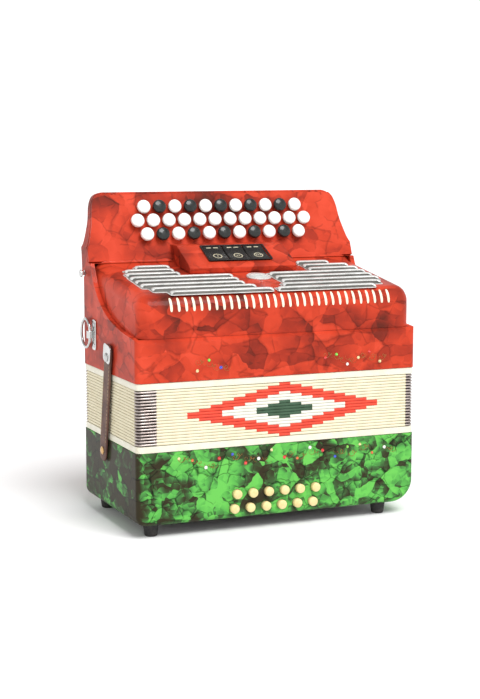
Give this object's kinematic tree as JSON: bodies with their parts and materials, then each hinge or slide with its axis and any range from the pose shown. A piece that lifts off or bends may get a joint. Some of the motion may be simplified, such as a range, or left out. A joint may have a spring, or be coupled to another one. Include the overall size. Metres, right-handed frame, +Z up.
{
  "type": "button accordion",
  "caption": "Three-row button accordion with a leaning keyboard, register tablets, chrome louvred grille, folded bellows, button bass end, straps and strap rings.",
  "frame": {"origin": "centre of the bounding box, at the floor under the rubber feet", "axes": "+X along the keyboard, +Y towards the player, +Z up from the bass end to the treble end"},
  "size_m": [0.3242, 0.1886, 0.3376],
  "materials": {
    "red_celluloid": "polished red pearl celluloid sheet over wood",
    "green_celluloid": "polished green pearl celluloid sheet over wood",
    "bellows_card": "cream cloth-faced card folds",
    "white_trim": "ivory celluloid band",
    "cap_white": "polished ivory plastic",
    "cap_black": "polished black plastic",
    "register_black": "black plastic",
    "end_plate": "black sheet over wood",
    "chrome": "polished chrome plate",
    "steel": "nickel-plated steel wire",
    "leather": "dark brown leather",
    "spruce": "bare spruce",
    "rubber": "black rubber",
    "brass": "brass",
    "corner_metal": "bronzed steel corner guards",
    "glass_stones": "coloured glass stones",
    "grille_ivory": "pale grille cloth behind the slots"
  },
  "bodies": {
    "bass_end": {"bass_casing": "green_celluloid", "bass_end_plate": "end_plate", "bass_reed_block": "spruce", "hand_strap": "leather", "bellows_frame_bass": "white_trim", "bellows": "bellows_card"},
    "treble_end": {"treble_casing": "red_celluloid", "grille_cover": "red_celluloid", "grille_louvres": "chrome", "treble_soundboard": "spruce", "treble_reed_block": "spruce", "fingerboard": "red_celluloid", "register_console": "red_celluloid", "bellows_frame_treble": "white_trim", "strap_bracket_left": "chrome", "strap_bracket_right": "chrome"},
    "strap_left": {"bellows_strap_left": "leather"},
    "strap_right": {"bellows_strap_right": "leather"},
    "ring_left": {"strap_ring_left": "steel"},
    "ring_right": {"strap_ring_right": "steel"},
    "register_left": {"register_switch_left": "register_black"},
    "register_middle": {"register_switch_middle": "register_black"},
    "register_right": {"register_switch_right": "register_black"},
    "air_button": {"air_button": "cap_white"},
    "bass_row_lower": {"bass_buttons_lower_row": "cap_white"},
    "bass_row_upper": {"bass_buttons_upper_row": "cap_white"},
    "button_outer_01": {"treble_button_outer_01": "cap_white"},
    "button_outer_02": {"treble_button_outer_02": "cap_black"},
    "button_outer_03": {"treble_button_outer_03": "cap_white"},
    "button_outer_04": {"treble_button_outer_04": "cap_black"},
    "button_outer_05": {"treble_button_outer_05": "cap_white"},
    "button_outer_06": {"treble_button_outer_06": "cap_black"},
    "button_outer_07": {"treble_button_outer_07": "cap_white"},
    "button_outer_08": {"treble_button_outer_08": "cap_black"},
    "button_outer_09": {"treble_button_outer_09": "cap_white"},
    "button_outer_10": {"treble_button_outer_10": "cap_black"},
    "button_outer_11": {"treble_button_outer_11": "cap_white"},
    "button_middle_01": {"treble_button_middle_01": "cap_white"},
    "button_middle_02": {"treble_button_middle_02": "cap_white"},
    "button_middle_03": {"treble_button_middle_03": "cap_white"},
    "button_middle_04": {"treble_button_middle_04": "cap_white"},
    "button_middle_05": {"treble_button_middle_05": "cap_white"},
    "button_middle_06": {"treble_button_middle_06": "cap_white"},
    "button_middle_07": {"treble_button_middle_07": "cap_white"},
    "button_middle_08": {"treble_button_middle_08": "cap_white"},
    "button_middle_09": {"treble_button_middle_09": "cap_white"},
    "button_middle_10": {"treble_button_middle_10": "cap_white"},
    "button_middle_11": {"treble_button_middle_11": "cap_white"},
    "button_middle_12": {"treble_button_middle_12": "cap_white"},
    "button_inner_01": {"treble_button_inner_01": "cap_white"},
    "button_inner_02": {"treble_button_inner_02": "cap_black"},
    "button_inner_03": {"treble_button_inner_03": "cap_white"},
    "button_inner_04": {"treble_button_inner_04": "cap_black"},
    "button_inner_05": {"treble_button_inner_05": "cap_white"},
    "button_inner_06": {"treble_button_inner_06": "cap_black"},
    "button_inner_07": {"treble_button_inner_07": "cap_white"},
    "button_inner_08": {"treble_button_inner_08": "cap_black"},
    "button_inner_09": {"treble_button_inner_09": "cap_white"},
    "button_inner_10": {"treble_button_inner_10": "cap_black"},
    "button_inner_11": {"treble_button_inner_11": "cap_white"}
  },
  "joints": [
    {"name": "bellows_spread", "type": "slide", "parent": "bass_end", "child": "treble_end", "axis": [0, 0, 1], "range_m": [0, 0.28], "deforming": ["bellows"]},
    {"name": "bellows_strap_left_release", "type": "hinge", "parent": "bass_end", "child": "strap_left", "pos_m": [-0.1572, 0.00775, 0.079], "axis": [0, -0.9842, -0.1771], "range_deg": [0, 120]},
    {"name": "bellows_strap_right_release", "type": "hinge", "parent": "bass_end", "child": "strap_right", "pos_m": [0.1572, 0.00775, 0.079], "axis": [0, 0.9842, 0.1771], "range_deg": [0, 120]},
    {"name": "strap_ring_left_swing", "type": "hinge", "parent": "treble_end", "child": "ring_left", "pos_m": [-0.1587, 0.04625, 0.191], "axis": [0, 0, 1], "range_deg": [0, 170]},
    {"name": "strap_ring_right_swing", "type": "hinge", "parent": "treble_end", "child": "ring_right", "pos_m": [0.1587, 0.04625, 0.191], "axis": [0, 0, -1], "range_deg": [0, 170]},
    {"name": "register_left_rock", "type": "hinge", "parent": "treble_end", "child": "register_left", "pos_m": [-0.0236, 0.02785, 0.27175], "axis": [1, 0, 0], "range_deg": [-6, 6]},
    {"name": "register_middle_rock", "type": "hinge", "parent": "treble_end", "child": "register_middle", "pos_m": [0, 0.02785, 0.27175], "axis": [1, 0, 0], "range_deg": [-6, 6]},
    {"name": "register_right_rock", "type": "hinge", "parent": "treble_end", "child": "register_right", "pos_m": [0.0236, 0.02785, 0.27175], "axis": [1, 0, 0], "range_deg": [-6, 6]},
    {"name": "air_button_press", "type": "slide", "parent": "bass_end", "child": "air_button", "axis": [0, -1, 0], "range_m": [0, 0.006], "stiffness_N_per_m": 300, "springref_m": -0.002},
    {"name": "bass_lower_row_press", "type": "slide", "parent": "bass_end", "child": "bass_row_lower", "axis": [0, 1, 0], "range_m": [0, 0.003], "stiffness_N_per_m": 500, "springref_m": -0.002},
    {"name": "bass_upper_row_press", "type": "slide", "parent": "bass_end", "child": "bass_row_upper", "axis": [0, 1, 0], "range_m": [0, 0.003], "stiffness_N_per_m": 500, "springref_m": -0.002},
    {"name": "button_outer_01_press", "type": "slide", "parent": "treble_end", "child": "button_outer_01", "axis": [0, 0.9323, -0.3616], "range_m": [0, 0.0035], "stiffness_N_per_m": 300, "springref_m": -0.002},
    {"name": "button_outer_02_press", "type": "slide", "parent": "treble_end", "child": "button_outer_02", "axis": [0, 0.9323, -0.3616], "range_m": [0, 0.0035], "stiffness_N_per_m": 300, "springref_m": -0.002},
    {"name": "button_outer_03_press", "type": "slide", "parent": "treble_end", "child": "button_outer_03", "axis": [0, 0.9323, -0.3616], "range_m": [0, 0.0035], "stiffness_N_per_m": 300, "springref_m": -0.002},
    {"name": "button_outer_04_press", "type": "slide", "parent": "treble_end", "child": "button_outer_04", "axis": [0, 0.9323, -0.3616], "range_m": [0, 0.0035], "stiffness_N_per_m": 300, "springref_m": -0.002},
    {"name": "button_outer_05_press", "type": "slide", "parent": "treble_end", "child": "button_outer_05", "axis": [0, 0.9323, -0.3616], "range_m": [0, 0.0035], "stiffness_N_per_m": 300, "springref_m": -0.002},
    {"name": "button_outer_06_press", "type": "slide", "parent": "treble_end", "child": "button_outer_06", "axis": [0, 0.9323, -0.3616], "range_m": [0, 0.0035], "stiffness_N_per_m": 300, "springref_m": -0.002},
    {"name": "button_outer_07_press", "type": "slide", "parent": "treble_end", "child": "button_outer_07", "axis": [0, 0.9323, -0.3616], "range_m": [0, 0.0035], "stiffness_N_per_m": 300, "springref_m": -0.002},
    {"name": "button_outer_08_press", "type": "slide", "parent": "treble_end", "child": "button_outer_08", "axis": [0, 0.9323, -0.3616], "range_m": [0, 0.0035], "stiffness_N_per_m": 300, "springref_m": -0.002},
    {"name": "button_outer_09_press", "type": "slide", "parent": "treble_end", "child": "button_outer_09", "axis": [0, 0.9323, -0.3616], "range_m": [0, 0.0035], "stiffness_N_per_m": 300, "springref_m": -0.002},
    {"name": "button_outer_10_press", "type": "slide", "parent": "treble_end", "child": "button_outer_10", "axis": [0, 0.9323, -0.3616], "range_m": [0, 0.0035], "stiffness_N_per_m": 300, "springref_m": -0.002},
    {"name": "button_outer_11_press", "type": "slide", "parent": "treble_end", "child": "button_outer_11", "axis": [0, 0.9323, -0.3616], "range_m": [0, 0.0035], "stiffness_N_per_m": 300, "springref_m": -0.002},
    {"name": "button_middle_01_press", "type": "slide", "parent": "treble_end", "child": "button_middle_01", "axis": [0, 0.9323, -0.3616], "range_m": [0, 0.0035], "stiffness_N_per_m": 300, "springref_m": -0.002},
    {"name": "button_middle_02_press", "type": "slide", "parent": "treble_end", "child": "button_middle_02", "axis": [0, 0.9323, -0.3616], "range_m": [0, 0.0035], "stiffness_N_per_m": 300, "springref_m": -0.002},
    {"name": "button_middle_03_press", "type": "slide", "parent": "treble_end", "child": "button_middle_03", "axis": [0, 0.9323, -0.3616], "range_m": [0, 0.0035], "stiffness_N_per_m": 300, "springref_m": -0.002},
    {"name": "button_middle_04_press", "type": "slide", "parent": "treble_end", "child": "button_middle_04", "axis": [0, 0.9323, -0.3616], "range_m": [0, 0.0035], "stiffness_N_per_m": 300, "springref_m": -0.002},
    {"name": "button_middle_05_press", "type": "slide", "parent": "treble_end", "child": "button_middle_05", "axis": [0, 0.9323, -0.3616], "range_m": [0, 0.0035], "stiffness_N_per_m": 300, "springref_m": -0.002},
    {"name": "button_middle_06_press", "type": "slide", "parent": "treble_end", "child": "button_middle_06", "axis": [0, 0.9323, -0.3616], "range_m": [0, 0.0035], "stiffness_N_per_m": 300, "springref_m": -0.002},
    {"name": "button_middle_07_press", "type": "slide", "parent": "treble_end", "child": "button_middle_07", "axis": [0, 0.9323, -0.3616], "range_m": [0, 0.0035], "stiffness_N_per_m": 300, "springref_m": -0.002},
    {"name": "button_middle_08_press", "type": "slide", "parent": "treble_end", "child": "button_middle_08", "axis": [0, 0.9323, -0.3616], "range_m": [0, 0.0035], "stiffness_N_per_m": 300, "springref_m": -0.002},
    {"name": "button_middle_09_press", "type": "slide", "parent": "treble_end", "child": "button_middle_09", "axis": [0, 0.9323, -0.3616], "range_m": [0, 0.0035], "stiffness_N_per_m": 300, "springref_m": -0.002},
    {"name": "button_middle_10_press", "type": "slide", "parent": "treble_end", "child": "button_middle_10", "axis": [0, 0.9323, -0.3616], "range_m": [0, 0.0035], "stiffness_N_per_m": 300, "springref_m": -0.002},
    {"name": "button_middle_11_press", "type": "slide", "parent": "treble_end", "child": "button_middle_11", "axis": [0, 0.9323, -0.3616], "range_m": [0, 0.0035], "stiffness_N_per_m": 300, "springref_m": -0.002},
    {"name": "button_middle_12_press", "type": "slide", "parent": "treble_end", "child": "button_middle_12", "axis": [0, 0.9323, -0.3616], "range_m": [0, 0.0035], "stiffness_N_per_m": 300, "springref_m": -0.002},
    {"name": "button_inner_01_press", "type": "slide", "parent": "treble_end", "child": "button_inner_01", "axis": [0, 0.9323, -0.3616], "range_m": [0, 0.0035], "stiffness_N_per_m": 300, "springref_m": -0.002},
    {"name": "button_inner_02_press", "type": "slide", "parent": "treble_end", "child": "button_inner_02", "axis": [0, 0.9323, -0.3616], "range_m": [0, 0.0035], "stiffness_N_per_m": 300, "springref_m": -0.002},
    {"name": "button_inner_03_press", "type": "slide", "parent": "treble_end", "child": "button_inner_03", "axis": [0, 0.9323, -0.3616], "range_m": [0, 0.0035], "stiffness_N_per_m": 300, "springref_m": -0.002},
    {"name": "button_inner_04_press", "type": "slide", "parent": "treble_end", "child": "button_inner_04", "axis": [0, 0.9323, -0.3616], "range_m": [0, 0.0035], "stiffness_N_per_m": 300, "springref_m": -0.002},
    {"name": "button_inner_05_press", "type": "slide", "parent": "treble_end", "child": "button_inner_05", "axis": [0, 0.9323, -0.3616], "range_m": [0, 0.0035], "stiffness_N_per_m": 300, "springref_m": -0.002},
    {"name": "button_inner_06_press", "type": "slide", "parent": "treble_end", "child": "button_inner_06", "axis": [0, 0.9323, -0.3616], "range_m": [0, 0.0035], "stiffness_N_per_m": 300, "springref_m": -0.002},
    {"name": "button_inner_07_press", "type": "slide", "parent": "treble_end", "child": "button_inner_07", "axis": [0, 0.9323, -0.3616], "range_m": [0, 0.0035], "stiffness_N_per_m": 300, "springref_m": -0.002},
    {"name": "button_inner_08_press", "type": "slide", "parent": "treble_end", "child": "button_inner_08", "axis": [0, 0.9323, -0.3616], "range_m": [0, 0.0035], "stiffness_N_per_m": 300, "springref_m": -0.002},
    {"name": "button_inner_09_press", "type": "slide", "parent": "treble_end", "child": "button_inner_09", "axis": [0, 0.9323, -0.3616], "range_m": [0, 0.0035], "stiffness_N_per_m": 300, "springref_m": -0.002},
    {"name": "button_inner_10_press", "type": "slide", "parent": "treble_end", "child": "button_inner_10", "axis": [0, 0.9323, -0.3616], "range_m": [0, 0.0035], "stiffness_N_per_m": 300, "springref_m": -0.002},
    {"name": "button_inner_11_press", "type": "slide", "parent": "treble_end", "child": "button_inner_11", "axis": [0, 0.9323, -0.3616], "range_m": [0, 0.0035], "stiffness_N_per_m": 300, "springref_m": -0.002}
  ]
}
